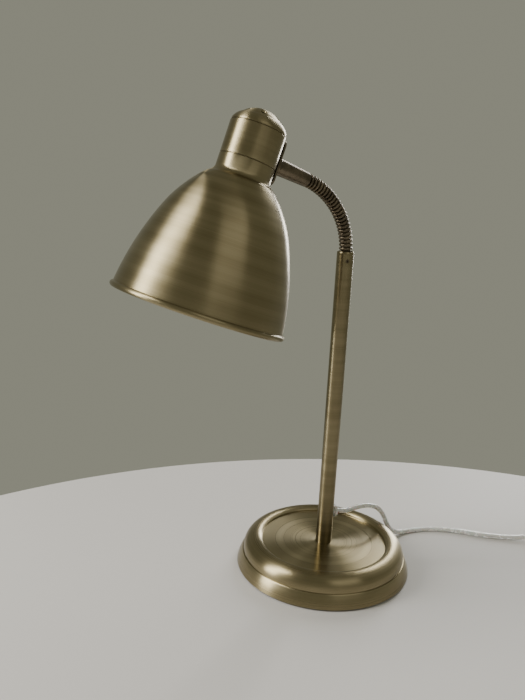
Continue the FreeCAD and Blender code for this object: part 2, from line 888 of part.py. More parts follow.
def make_bulb(place):
    """A small globe lamp: threaded cap with its tip, and an opal envelope."""
    tip = "thread_long / 2 - 5 + 0.3"
    cap_low = tip + " - 25"
    keep(spun("bulb_cap", [
        ("0", cap_low),
        ("thread_radius - 0.1", cap_low),
        ("thread_radius - 0.1", tip + " - 4"),
        ("2.4", tip + " - 1.5"),
        ("2.4", tip),
        ("0", tip),
    ]), place)
    globe = tip + " - bulb_long + bulb_radius"
    keep(spun("bulb_globe", [
        ("0", tip + " - bulb_long"),
        ("bulb_radius", globe),
        ("bulb_neck", cap_low + " - 4"),
        ("bulb_neck - 2.4", cap_low),
        ("bulb_neck - 2.4 - bulb_glass", cap_low),
        ("bulb_neck - bulb_glass", cap_low + " - 4"),
        ("bulb_radius - bulb_glass", globe),
        ("0", tip + " - bulb_long + bulb_glass"),
    ], {
        0: ("bulb_radius", 1),
        1: ("bulb_radius * 1.35", 1),
        5: ("bulb_radius * 1.35", -1),
        6: ("bulb_radius - bulb_glass", -1),
    }), place)


# ---------------------------------------------------------------- leads

def tangent_path(points):
    """Straight runs joined by tangent arcs; each arc's radius comes from its shorter run."""
    points = [Vector(*point) for point in points]
    edges = []
    radii = []
    start = points[0]
    for before, corner, after in zip(points, points[1:], points[2:]):
        back = (before - corner).normalize()
        ahead = (after - corner).normalize()
        half = (math.pi - back.getAngle(ahead)) / 2
        shorter = min((corner - before).Length, (after - corner).Length)
        radius = 0.45 * shorter / math.tan(half)
        radii.append(radius)
        enter = corner + back * (0.45 * shorter)
        leave = corner + ahead * (0.45 * shorter)
        inward = (back + ahead).normalize()
        middle = corner + inward * (radius / math.cos(half) - radius)
        edges.append(Part.LineSegment(start, enter).toShape())
        edges.append(Part.Arc(enter, middle, leave).toShape())
        start = leave
    edges.append(Part.LineSegment(start, points[-1]).toShape())
    return Part.Wire(edges), radii


def tube(points, radius):
    """A round tube along the path of those points, with its check of volume."""
    path, radii = tangent_path(points)
    first = path.Edges[0]
    ring = Part.Wire(Part.Circle(first.valueAt(first.FirstParameter),
                                 first.tangentAt(first.FirstParameter), radius).toShape())
    solid = path.makePipeShell([ring], True, False)
    expected = math.pi * radius * radius * path.Length
    if abs(solid.Volume - expected) > 0.01 * expected:
        raise ValueError("tube volume %.1f, expected %.1f" % (solid.Volume, expected))
    return solid, path.Length, radii


def solid_part(name, solids, place=None):
    """A sub-part whose shape no parametric feature makes: the bent leads."""
    feature = doc.addObject("Part::Feature", name)
    feature.Label = name
    feature.Shape = solids[0] if len(solids) == 1 else Part.makeCompound(solids)
    return keep(feature, place)


def make_cord_run():
    solid, length, radii = tube(CORD_ROUTE, val("cord_radius"))
    solid_part("cord_run", [solid])
    print("cord_run length %.1f" % length, "radii", [round(radius, 1) for radius in radii])


def make_stem_leads():
    """The two cores inside the stem, from the gland up into the hose."""
    solids = []
    side = val("core_apart")
    high = val("gland_high")
    top = val("stem_top")
    for y in (side, -side):
        solid, _, _ = tube([
            (val("stem_radius - stem_wall - 1"), y, high),
            (val("core_radius"), y, high + 2.0),
            (0.0, y, high + 10.0),
            (0.2, y, top),
        ], val("core_radius"))
        solids.append(solid)
    solid_part("stem_leads", solids)


def make_head_leads(place):
    """The two cores inside the ferrule, up to the side of the lampholder."""
    solids = []
    for y in (val("core_apart"), -val("core_apart")):
        beside = val("holder_radius + core_radius + 0.4")
        solid, _, _ = tube([
            (val("head_reach") - 1.5, y, 0.0),
            (beside, y, 0.0),
            (beside, y, 5.0),
            (beside + 0.2, y, 12.0),
        ], val("core_radius"))
        solids.append(solid)
    solid_part("head_leads", solids, place)


def make_gland():
    """The clear bush where the lead enters the stem: a flange outside, a body inside."""
    body = new_body("cord_gland")
    face = "stem_radius"
    sketch = sketch_on(body, "YZ_Plane", "gland_flange_outline", "0")
    draw_circle(sketch, "0", "gland_high", "gland_radius")
    pad(body, sketch, "gland_flange", face + " + gland_thick")
    shank = sketch_on(body, "YZ_Plane", "gland_trim_outline")
    draw_circle(shank, "0", "gland_high", "gland_radius + 1")
    draw_circle(shank, "0", "gland_high", "gland_body")
    pocket(body, shank, "gland_trim", face + " + 0.2", reverse=True)
    bore = sketch_on(body, "YZ_Plane", "gland_bore_outline")
    draw_circle(bore, "0", "gland_high", "gland_body + 1")
    pocket(body, bore, "gland_bore", "stem_radius - stem_wall - 0.6", reverse=True)
    keep(body)


def lead_place(along, aside, turn=0.0):
    """A place beside the lead's end: along the lead's last heading and to its left."""
    heading = Rotation(Vector(0, 0, 1), LEAD_TURN)
    spot = LEAD_END + heading.multVec(Vector(along, aside, 0))
    return Placement(spot, Rotation(Vector(0, 0, 1), LEAD_TURN + turn))


def coil_along():
    """How far along the heading the coil's middle stands: switch, a short lead, the coil."""
    reach = math.sqrt(val("(coil_radius + coil_half)^2 - coil_radius^2"))
    return val("switch_long + 2 * switch_neck + lead_show") + reach


def make_coil():
    low = "coil_lift"
    high = "coil_lift + 2 * coil_half"
    inside = "coil_radius - coil_half"
    outside = "coil_radius + coil_half"
    body = spun("cord_coil", [
        (inside + " + 2", low),
        (outside + " - 2", low),
        (outside, low + " + 2"),
        (outside, high + " - 2"),
        (outside + " - 2", high),
        (inside + " + 2", high),
        (inside, high + " - 2"),
        (inside, low + " + 2"),
    ])
    keep(body, lead_place(coil_along(), val("coil_radius")))


def make_tie():
    """The band round the coil's turns, on the side away from the lamp."""
    body = new_body("cord_tie")
    sketch = sketch_on(body, "XZ_Plane", "tie_outline")
    inside = "coil_radius - coil_half - 1.2"
    outside = "coil_radius + coil_half + 0.3"
    top = "coil_lift + 2 * coil_half + 0.3"
    draw_loop(sketch, rectangle(
        inside + " - tie_thick", "0", outside + " + tie_thick", top + " + tie_thick"))
    draw_loop(sketch, rectangle(inside, "tie_thick", outside, top))
    pad(body, sketch, "tie_band", "tie_wide", middle=True)
    keep(body, lead_place(coil_along(), val("coil_radius")))


def make_cord_ends():
    """The short stretches from the switch to the coil and from the coil to the plug."""
    stretches = []
    start = val("switch_long + 2 * switch_neck")
    for name, height, aside in (("cord_lead", "switch_split", 0.0),
                                ("cord_tail", "plug_high / 2", 2 * val("coil_radius"))):
        stretch = doc.addObject("Part::Cylinder", name)
        bind(stretch, "Radius", "cord_radius")
        bind(stretch, "Height", "lead_show + lead_hidden")
        flat = lead_place(start, aside)
        lie = flat.Rotation.multiply(Rotation(Vector(0, 1, 0), 90))
        stretch.Placement = Placement(flat.Base + Vector(0, 0, val(height)), lie)
        stretches.append(stretch)
    keep(grouped("cord_ends", stretches))


# ---------------------------------------------------------------- in-line switch

SWITCH_SCREWS = (
    "switch_neck + switch_screw_in",
    "switch_neck + switch_long - switch_screw_in",
)


def make_switch_half(name, low, high, floor):
    """Half of the switch's case: a rounded block, hollowed from the parting plane."""
    body = new_body(name)
    rounded_box(body, name, rectangle(
        "switch_neck", "-switch_wide / 2", "switch_neck + switch_long", "switch_wide / 2"),
        "switch_round", "%s - (%s)" % (high, low), low)
    hollow = sketch_on(body, "XY_Plane", name + "_hollow_outline", "switch_split")
    draw_loop(hollow, rectangle(
        "switch_neck + switch_wall", "switch_wall - switch_wide / 2",
        "switch_neck + switch_long - switch_wall", "switch_wide / 2 - switch_wall"))
    depth = "%s - (%s) - switch_wall" % (high, low)
    pocket(body, hollow, name + "_hollow", depth, reverse=floor == "top")
    return body


def make_switch():
    """The in-line switch: two halves, screws from below and a rocker on two stubs."""
    place = lead_place(0, 0)
    bottom = make_switch_half("switch_bottom", "0", "switch_split", "bottom")
    top = make_switch_half("switch_top", "switch_split", "switch_high", "top")
    middle = "switch_neck + switch_long / 2"
    for side, start in (("in", "0"), ("out", "switch_neck + switch_long - 1")):
        sketch = sketch_on(bottom, "YZ_Plane", "neck_" + side + "_outline", start)
        draw_circle(sketch, "0", "switch_split", "cord_radius + 1.6")
        pad(bottom, sketch, "neck_" + side, "switch_neck + 1")
    relief = sketch_on(bottom, "XY_Plane", "neck_relief_outline", "switch_split")
    draw_loop(relief, rectangle(
        "switch_neck", "-cord_radius - 2", "switch_neck + switch_long", "cord_radius + 2"))
    pocket(bottom, relief, "neck_relief", "cord_radius + 2", reverse=True)
    for name, radius, depth in (("screw_seat", "2.4 + fit_gap", "switch_wall - 0.2"),
                                ("screw_hole", "1.2 + fit_gap", "switch_wall + 1")):
        seats = sketch_on(bottom, "XY_Plane", name + "_outline")
        for along in SWITCH_SCREWS:
            draw_circle(seats, along, "switch_screw_aside", radius)
        pocket(bottom, seats, name, depth, reverse=True)
    window = sketch_on(top, "XY_Plane", "window_outline", "switch_split")
    draw_loop(window, rectangle(
        middle + " - rocker_long / 2 - rocker_gap", "-rocker_wide / 2 - rocker_gap",
        middle + " + rocker_long / 2 + rocker_gap", "rocker_wide / 2 + rocker_gap"))
    pocket(top, window, "window", reverse=True)
    for side, start in (("left", "rocker_wide / 2 + rocker_gap"),
                        ("right", "-rocker_wide / 2 - rocker_gap - 2.5")):
        ear = sketch_on(top, "XZ_Plane", "ear_" + side + "_outline", "-(%s)" % start)
        draw_loop(ear, rectangle(
            middle + " - 3", "switch_split + 1", middle + " + 3", "switch_high - 1"))
        pad(top, ear, "ear_" + side, "2.5", reverse=True)
    pivot = sketch_on(top, "XZ_Plane", "pivot_outline")
    draw_circle(pivot, middle, "switch_split + 3.5", "1.25")
    pocket(top, pivot, "pivot_bore", "rocker_wide + 8", middle=True)
    keep(bottom, place)
    keep(top, place)
    rocker = new_body("switch_rocker")
    side_view = sketch_on(rocker, "XZ_Plane", "rocker_outline")
    draw_loop(side_view, [
        ("-rocker_long / 2", "0.5"),
        ("-2", "-2"),
        ("2", "-2"),
        ("rocker_long / 2", "0.5"),
        ("rocker_long / 2 - 0.8", "switch_high - switch_split - 3.5 + 2.0"),
        ("0", "switch_high - switch_split - 3.5 + 0.6"),
        ("0.8 - rocker_long / 2", "switch_high - switch_split - 3.5 + 2.0"),
    ])
    pad(rocker, side_view, "rocker_block", "rocker_wide", middle=True)
    stubs = sketch_on(rocker, "XZ_Plane", "stub_outline")
    draw_circle(stubs, "0", "0", "1.2")
    pad(rocker, stubs, "rocker_stubs", "rocker_wide + 2 * rocker_gap + 3", middle=True)
    tip = val("rocker_tip")
    spot = place.multVec(Vector(val(middle), 0, val("switch_split + 3.5")))
    keep(rocker, Placement(spot, place.Rotation.multiply(Rotation(Vector(0, 1, 0), tip))))


def make_switch_screws():
    body = spun("switch_screw", [
        ("0", "0.6"),
        ("2.4", "0.6"),
        ("2.4", "switch_wall - 0.2"),
        ("1.2", "switch_wall - 0.2"),
        ("1.2", "switch_split + 4"),
        ("0", "switch_split + 4"),
    ])
    copies = []
    for index, along in enumerate(SWITCH_SCREWS, start=1):
        copy = doc.addObject("App::Link", "switch_screw_%d" % index)
        copy.LinkedObject = body
        copy.Placement = at(val(along), val("switch_screw_aside"), 0)
        copies.append(copy)
    keep(grouped("switch_screws", copies), lead_place(0, 0))


# ---------------------------------------------------------------- plug

def make_plug():
    """A flat two-pin plug on its side: tapered relief, moulded body, two round pins."""
    front = val("switch_long + 2 * switch_neck")
    place = lead_place(front, 2 * val("coil_radius"), 180.0)
    body = new_body("plug_body")
    rounded_box(body, "plug", rectangle(
        "plug_relief", "-plug_wide / 2", "plug_relief + plug_long", "plug_wide / 2"),
        "plug_wide * 0.3", "plug_high")
    relief = sketch_on(body, "XY_Plane", "plug_relief_outline", "plug_high / 2")
    draw_loop(relief, [
        ("0", "0"),
        ("0", "cord_radius + 0.8"),
        ("plug_relief + 2", "plug_high * 0.42"),
        ("plug_relief + 2", "0"),
    ])
    cone = body.newObject("PartDesign::Revolution", "plug_relief_cone")
    cone.Profile = relief
    cone.ReferenceAxis = (relief, ["H_Axis"])
    cone.Angle = 360
    keep(body, place)
    pins = new_body("plug_pin")
    sketch = sketch_on(pins, "YZ_Plane", "pin_outline", "plug_relief + plug_long")
    draw_circle(sketch, "pin_apart / 2", "plug_high / 2", "pin_radius")
    pad(pins, sketch, "pin_shaft", "pin_long")
    mirrored = doc.addObject("App::Link", "plug_pin_right")
    mirrored.LinkedObject = pins
    mirrored.Placement = at(0, -val("pin_apart"), 0)
    other = doc.addObject("App::Link", "plug_pin_left")
    other.LinkedObject = pins
    keep(grouped("plug_pins", [other, mirrored]), place)


# ---------------------------------------------------------------- all of it

def build():
    make_felt()
    make_base_plate()
    make_plate_screws()
    make_base_weight()
    make_base_shell()
    make_foot_stud()
    make_foot_nut()
    make_stem()
    make_grub_screw()
    make_hose_root()
    frames = hose_frames()
    pitch = "(hose_long / %d)" % HOSE_HINGES
    for number, frame in enumerate(frames[:-1], start=1):
        make_hose_ring(number, frame, pitch)
    make_ferrule(frames[-1])
    head = head_frame(frames[-1])
    make_bracket(head)
    make_bracket_screws(head)
    make_shade_bell(head)
    make_neck_sleeve(head)
    make_vent_cap(head)
    make_lock_nut(head)
    make_holder_strap(head)
    make_holder_screw(head)
    make_holder_body(head)
    make_holder_shell(head)
    make_holder_contact(head)
    make_bulb(head)
    make_head_leads(head)
    make_gland()
    make_stem_leads()
    make_cord_run()
    make_switch()
    make_switch_screws()
    make_cord_ends()
    make_coil()
    make_tie()
    make_plug()


def check():
    """Stop before anything is written if an object failed or a shape is not sound."""
    doc.recompute()
    for thing in doc.Objects:
        if "Invalid" in thing.State or "Error" in thing.State:
            reason = getattr(thing, "getStatusString", str)()
            raise RuntimeError("%s failed: %s" % (thing.Name, reason))
    for part in PARTS:
        if part.Shape.isNull() or not part.Shape.isValid():
            raise RuntimeError("%s has no sound shape" % part.Label)


def write():
    os.makedirs("parts", exist_ok=True)
    for part in PARTS:
        part.Shape.exportStep("parts/%s.step" % part.Label)
    print(len(PARTS), "parts written")


build()
check()
write()
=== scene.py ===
import bpy
import json
import math
import numpy as np
from mathutils import Matrix, Vector


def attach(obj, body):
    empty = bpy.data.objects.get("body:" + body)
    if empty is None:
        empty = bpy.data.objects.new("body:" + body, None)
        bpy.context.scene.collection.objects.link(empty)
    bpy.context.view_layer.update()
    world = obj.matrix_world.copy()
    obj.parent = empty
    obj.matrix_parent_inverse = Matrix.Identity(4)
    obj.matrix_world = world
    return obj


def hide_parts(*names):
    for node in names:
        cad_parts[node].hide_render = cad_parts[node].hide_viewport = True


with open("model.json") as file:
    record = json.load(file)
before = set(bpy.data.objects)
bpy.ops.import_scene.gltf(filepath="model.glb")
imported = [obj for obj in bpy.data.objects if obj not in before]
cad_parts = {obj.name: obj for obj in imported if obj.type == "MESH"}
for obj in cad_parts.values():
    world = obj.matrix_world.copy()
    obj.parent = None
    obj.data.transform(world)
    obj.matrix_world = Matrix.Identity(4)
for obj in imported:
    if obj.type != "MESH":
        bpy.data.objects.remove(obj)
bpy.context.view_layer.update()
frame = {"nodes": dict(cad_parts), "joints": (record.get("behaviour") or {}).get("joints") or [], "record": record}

# A gooseneck desk lamp in metres: +Z up, the stem on the Z axis, the shade towards -X.
MM = 0.001
TURN_STEPS = 192
TABLE_STEPS = 256
TABLE_RADIUS = 0.72
TABLE_MIDDLE = (-0.17, -0.43)

# The lead's route from the gland to the switch, in millimetres.
ROUTE = [
    (10.7, 0.0, 55.2), (18.5, 0.0, 52.8), (28.5, 0.1, 51.0), (40.0, 0.3, 52.1),
    (52.0, 0.8, 51.0), (63.0, 1.6, 47.4), (72.5, 2.6, 41.2), (80.0, 3.8, 32.0),
    (86.5, 5.2, 20.4), (95.0, 6.8, 9.4), (108.0, 7.8, 2.7), (124.0, 6.6, 2.5),
    (141.0, 1.6, 2.5), (157.0, -7.4, 2.5), (172.5, -20.4, 2.5), (187.0, -36.6, 2.5),
    (204.5, -50.8, 2.5), (223.0, -63.4, 3.6), (240.0, -74.6, 8.5), (253.0, -85.0, 8.5),
]
LEAD_END = Vector((253.0, -85.0, 0.0))
LEAD_TURN = math.radians(-38.66)
LEAD_THICK = 5.0
SWITCH_SPAN = 74.0
SWITCH_LINE = 8.5
PLUG_LINE = 6.9
COIL_RADIUS = 27.5
COIL_ALONG = 105.7
COIL_TURNS = 8.5
COIL_POINTS = 16
COIL_LOW = 3.4
# The place in the coil's section, (column, layer), that each turn lies in.
COIL_CELLS = [(0, 0), (-1, 0), (-1, 1), (-1, 2), (0, 1), (1, 0), (1, 1), (1, 2), (0, 2)]

# The shade, its neck and the vents, in millimetres; heights run up the shade's axis.
HEAD_REACH = 60.95 * MM
NECK_RADIUS = 23.4
NECK_LOW = -6.3
NECK_TOP = 20.5
COLLAR = 22.35
SHADE_WALL = 1.0
WAIST = (NECK_RADIUS, -17.5)
SHOULDER = (28.2, -23.0)
HIP = (52.0, -56.0)
RIM = (71.7, -132.2)
BEAD_RADIUS = 2.4
CAP_LOW = 21.1
CAP_PLUG_LOW = 17.0
CAP_RADIUS = 23.0
CAP_EDGE = (16.8, CAP_LOW + 8.2)
CAP_RISE = 6.7
AXIS_GAP = 0.02
VENT_COUNT = 6
VENT_RING = 13.6
VENT_RADIUS = 2.2
VENT_STEPS = 24

# Faces that meet at more than this angle keep a crisp edge.
CRISP = math.radians(32)


# ---------------------------------------------------------------- the shade's frame

def head_frame():
    """The shade's frame, read from the last hinge of the hose: Z up the shade's axis."""
    last = next(j for j in frame["joints"] if j["name"] == "hose_sway_24")
    axis = last["axis"]
    along = Vector((-axis[2], 0.0, axis[0])).normalized()
    centre = Vector(last["pos_m"]) + along * HEAD_REACH
    tilt = math.pi / 2 - math.atan2(-along.x, along.z)
    return Matrix.Translation(centre) @ Matrix.Rotation(tilt, 4, "Y")


HEAD = head_frame()
UPRIGHT = Matrix.Identity(4)


# ---------------------------------------------------------------- shader maths

class Value:
    """A socket that takes part in sums: each operation adds one Math node."""

    def __init__(self, shader, socket):
        self.shader = shader
        self.socket = socket

    def math(self, kind, *others):
        sockets = {0: self}
        for place, other in enumerate(others, start=1):
            sockets[place] = other
        return self.shader.node("ShaderNodeMath", {"operation": kind}, sockets)

    def flipped(self, kind, other):
        return self.shader.node("ShaderNodeMath", {"operation": kind}, {0: other, 1: self})

    def __add__(self, other):
        return self.math("ADD", other)

    def __radd__(self, other):
        return self.math("ADD", other)

    def __sub__(self, other):
        return self.math("SUBTRACT", other)

    def __rsub__(self, other):
        return self.flipped("SUBTRACT", other)

    def __mul__(self, other):
        return self.math("MULTIPLY", other)

    def __rmul__(self, other):
        return self.math("MULTIPLY", other)

    def smooth(self, low, high):
        """0 below low, 1 above high, with a soft step between."""
        settings = {"interpolation_type": "SMOOTHSTEP"}
        sockets = {"Value": self, "From Min": low, "From Max": high}
        return self.shader.node("ShaderNodeMapRange", settings, sockets, "Result")


class Shader:
    """One material: its nodes, its finish and the few patterns that the lamp's parts use."""

    def __init__(self, name):
        self.material = bpy.data.materials.new(name)
        self.material.use_nodes = True
        self.tree = self.material.node_tree
        self.finish = self.tree.nodes["Principled BSDF"]

    def node(self, kind, settings, sockets, out=0):
        """Add a node: settings first, then the values or links of its sockets."""
        made = self.tree.nodes.new(kind)
        for name, setting in settings.items():
            setattr(made, name, setting)
        for name, value in sockets.items():
            self.put(made.inputs[name], value)
        return Value(self, made.outputs[out])

    def put(self, socket, value):
        if isinstance(value, Value):
            self.tree.links.new(value.socket, socket)
        else:
            socket.default_value = value

    def set(self, **sockets):
        """Set the finish's own sockets, by name with underscores for spaces."""
        for name, value in sockets.items():
            self.put(self.finish.inputs[name.replace("_", " ")], value)

    def place(self):
        return self.node("ShaderNodeTexCoord", {}, {}, "Object")

    def vector(self, kind, *others, out=0):
        return self.node(
            "ShaderNodeVectorMath", {"operation": kind}, dict(enumerate(others)), out)

    def along_and_round(self, centre, axis):
        """Height along an axis through centre, distance from it, and the turn about it."""
        from_centre = self.vector("SUBTRACT", self.place(), tuple(centre))
        height = self.vector("DOT_PRODUCT", from_centre, tuple(axis), out="Value")
        lift = self.node("ShaderNodeVectorMath", {"operation": "SCALE"},
                         {0: tuple(axis), "Scale": height})
        level = self.vector("SUBTRACT", from_centre, lift)
        radius = self.vector("LENGTH", level, out="Value")
        side = self.vector("DOT_PRODUCT", level, (0.0, 1.0, 0.0), out="Value")
        return height, radius, side

    def noise(self, vector, scale, detail=2.0, rough=0.5):
        sockets = {"Vector": vector, "Scale": scale, "Detail": detail, "Roughness": rough}
        return self.node("ShaderNodeTexNoise", {}, sockets, "Fac")

    def combine(self, x, y, z):
        return self.node("ShaderNodeCombineXYZ", {}, {"X": x, "Y": y, "Z": z})

    def mix(self, factor, first, second):
        """Between two colours."""
        made = self.tree.nodes.new("ShaderNodeMix")
        made.data_type = "RGBA"
        self.put(made.inputs["Factor"], factor)
        self.put(made.inputs[6], first)
        self.put(made.inputs[7], second)
        return Value(self, made.outputs[2])

    def bump(self, height, strength, distance):
        sockets = {"Height": height, "Strength": strength, "Distance": distance}
        self.set(Normal=self.node("ShaderNodeBump", {}, sockets, "Normal"))


def rgb(red, green, blue):
    """A colour for a socket, opaque."""
    return (red, green, blue, 1.0)


def spun_brass(name, centre, axis, tone=1.0, rough=0.3):
    """Antique brass, turned and brushed: fine rings about the piece's own axis."""
    shader = Shader(name)
    height, radius, side = shader.along_and_round(centre, axis)
    drift = side * 1.5
    rings = shader.noise(shader.combine(radius * 1400.0, height * 1400.0, drift), 1.0, 3.0, 0.6)
    bands = shader.noise(shader.combine(radius * 110.0, height * 110.0, drift), 1.0, 2.0)
    cloud = shader.noise(shader.place(), 16.0, 3.0)
    light = rgb(0.335 * tone, 0.285 * tone, 0.172 * tone)
    dark = rgb(0.215 * tone, 0.178 * tone, 0.098 * tone)
    worn = bands * 0.6 + rings * 0.25 + cloud * 0.35
    shader.set(
        Base_Color=shader.mix(worn.smooth(0.35, 0.85), dark, light),
        Metallic=1.0,
        Roughness=rough + rings * 0.10 + bands * 0.06 - 0.06,
        Anisotropic=0.85,
        Anisotropic_Rotation=0.25,
    )
    shader.bump(rings + bands * 0.5, 0.16, 0.00006)
    return shader.material


def dark_bronze():
    """The hose, ferrule and bracket: darker, a little greasy, clouded in tone and gloss."""
    shader = Shader("dark_bronze")
    cloud = shader.noise(shader.place(), 90.0, 3.0)
    fine = shader.noise(shader.place(), 900.0, 2.0)
    shader.set(
        Base_Color=shader.mix(
            cloud.smooth(0.3, 0.75), rgb(0.115, 0.094, 0.066), rgb(0.215, 0.175, 0.122)),
        Metallic=1.0,
        Roughness=0.30 + cloud * 0.14,
    )
    shader.bump(fine, 0.10, 0.00008)
    return shader.material


def moulded(name, colour, rough, grain=700.0, coat=0.0):
    """Moulded plastic: a very fine sparked grain and a little unevenness in its gloss."""
    shader = Shader(name)
    cloud = shader.noise(shader.place(), 60.0, 2.0)
    pits = shader.noise(shader.place(), grain, 2.0)
    darker = tuple(0.9 * part for part in colour[:3]) + (1.0,)
    shader.set(
        Base_Color=shader.mix(cloud, darker, colour),
        Roughness=rough + cloud * 0.12,
        Coat_Weight=coat,
    )
    shader.bump(pits, 0.12, 0.0001)
    return shader.material


def clear_pvc():
    """The lead's jacket: clear plastic over two pale cores, with a soft surface."""
    shader = Shader("clear_pvc")
    cloud = shader.noise(shader.place(), 140.0, 2.0)
    shader.set(
        Base_Color=shader.mix(cloud.smooth(0.3, 0.7), rgb(0.78, 0.78, 0.74), rgb(0.86, 0.86, 0.83)),
        Roughness=0.22 + cloud * 0.1,
        Coat_Weight=0.6,
        Transmission_Weight=0.25,
        IOR=1.45,
    )
    shader.finish.inputs["Subsurface Weight"].default_value = 0.2
    shader.finish.inputs["Subsurface Scale"].default_value = 0.003
    shader.bump(cloud, 0.05, 0.0001)
    return shader.material


def white_enamel():
    """The inside of the shade: matt white paint with a faint orange-peel."""
    shader = Shader("white_enamel")
    cloud = shader.noise(shader.place(), 25.0, 2.0)
    peel = shader.noise(shader.place(), 420.0, 2.0)
    shader.set(
        Base_Color=shader.mix(cloud, rgb(0.76, 0.76, 0.75), rgb(0.84, 0.84, 0.83)),
        Roughness=0.42 + cloud * 0.1,
    )
    shader.bump(peel, 0.15, 0.00012)
    return shader.material


def opal_glass():
    """The lamp's envelope: white glass with a hard gloss."""
    shader = Shader("opal_glass")
    cloud = shader.noise(shader.place(), 30.0, 2.0)
    shader.set(
        Base_Color=shader.mix(cloud, rgb(0.82, 0.81, 0.77), rgb(0.90, 0.89, 0.86)),
        Roughness=0.08 + cloud * 0.06,
        Coat_Weight=0.5,
    )
    shader.finish.inputs["Subsurface Weight"].default_value = 0.3
    shader.finish.inputs["Subsurface Scale"].default_value = 0.01
    return shader.material


def bare_metal(name, colour, rough, grain):
    """Plated or cast metal of the inner parts, with a fine grain."""
    shader = Shader(name)
    cloud = shader.noise(shader.place(), grain * 0.1, 3.0)
    fine = shader.noise(shader.place(), grain, 2.0)
    darker = tuple(0.75 * part for part in colour[:3]) + (1.0,)
    shader.set(
        Base_Color=shader.mix(cloud.smooth(0.3, 0.7), darker, colour),
        Metallic=1.0,
        Roughness=rough + cloud * 0.15,
    )
    shader.bump(fine, 0.2, 0.0001)
    return shader.material


def felt():
    """The felt under the foot: matted fibres, no gloss."""
    shader = Shader("felt")
    fibres = shader.noise(shader.place(), 1500.0, 4.0, 0.7)
    clumps = shader.noise(shader.place(), 220.0, 3.0)
    shader.set(
        Base_Color=shader.mix(clumps, rgb(0.012, 0.012, 0.012), rgb(0.045, 0.043, 0.04)),
        Roughness=0.9 + fibres * 0.1,
        Sheen_Weight=0.4,
    )
    shader.bump(fibres + clumps, 0.6, 0.0004)
    return shader.material


def pale_floor():
    """The table top: pale, almost matt, with a faint cloud."""
    shader = Shader("pale_floor")
    cloud = shader.noise(shader.place(), 1.6, 2.0)
    shader.set(
        Base_Color=shader.mix(cloud, rgb(0.60, 0.575, 0.55), rgb(0.64, 0.615, 0.59)),
        Roughness=0.6,
    )
    return shader.material


UP = Vector((0.0, 0.0, 1.0))
HEAD_CENTRE = HEAD.translation
HEAD_AXIS = (HEAD.to_3x3() @ UP).normalized()
BRASS_FOOT = spun_brass("brass_foot", (0.0, 0.0, 0.0), UP, 1.0, 0.27)
BRASS_STEM = spun_brass("brass_stem", (0.0, 0.0, 0.0), UP, 0.9, 0.30)
BRASS_SHADE = spun_brass("brass_shade", HEAD_CENTRE, HEAD_AXIS, 1.0, 0.32)
BRONZE = dark_bronze()
ENAMEL = white_enamel()
FINISHES = {
    "antique_brass": BRASS_STEM,
    "dark_bronze": BRONZE,
    "cast_iron": bare_metal("cast_iron", rgb(0.16, 0.16, 0.16), 0.6, 900.0),
    "zinc_steel": bare_metal("zinc_steel", rgb(0.62, 0.63, 0.64), 0.35, 1200.0),
    "nickel": bare_metal("nickel", rgb(0.72, 0.70, 0.66), 0.18, 1500.0),
    "felt": felt(),
    "clear_pvc": clear_pvc(),
    "white_plastic": moulded("white_plastic", rgb(0.80, 0.79, 0.75), 0.34),
    "black_plastic": moulded("black_plastic", rgb(0.03, 0.03, 0.03), 0.4),
    "opal_glass": opal_glass(),
}


def dress_frame():
    """Every node of the design gets the finish that its slot in the record names."""
    slots = {part["node"]: part["material_slot"] for part in frame["record"]["subparts"]}
    by_node = {"base_shell": BRASS_FOOT, "vent_cap": BRASS_SHADE, "neck_sleeve": BRASS_SHADE,
               "shade_bell": BRASS_SHADE}
    for name, thing in frame["nodes"].items():
        thing.data.materials.clear()
        thing.data.materials.append(by_node.get(name, FINISHES[slots[name]]))


# ---------------------------------------------------------------- turned surfaces

def arc(start, end, radius, side, count=24):
    """Points on the circle of that radius through both ends; side +1 bulges to the right."""
    start = np.array(start, float)
    end = np.array(end, float)
    chord = end - start
    length = np.hypot(*chord)
    right = np.array([chord[1], -chord[0]]) / length
    drop = math.sqrt(max(radius * radius - length * length / 4, 0.0))
    centre = (start + end) / 2 - right * (side * drop)
    first = math.atan2(*(start - centre)[::-1])
    last = math.atan2(*(end - centre)[::-1])
    sweep = (last - first + math.pi) % (2 * math.pi) - math.pi
    angles = first + sweep * np.linspace(0.0, 1.0, count)
    return centre + radius * np.stack([np.cos(angles), np.sin(angles)], axis=1)


def outline(*stretches):
    """Join stretches of (radius, height) points into one closed line, in metres."""
    points = np.concatenate([np.atleast_2d(np.array(part, float)) for part in stretches])
    apart = np.hypot(*(points - np.roll(points, 1, axis=0)).T)
    return points[apart > 1e-6] * MM


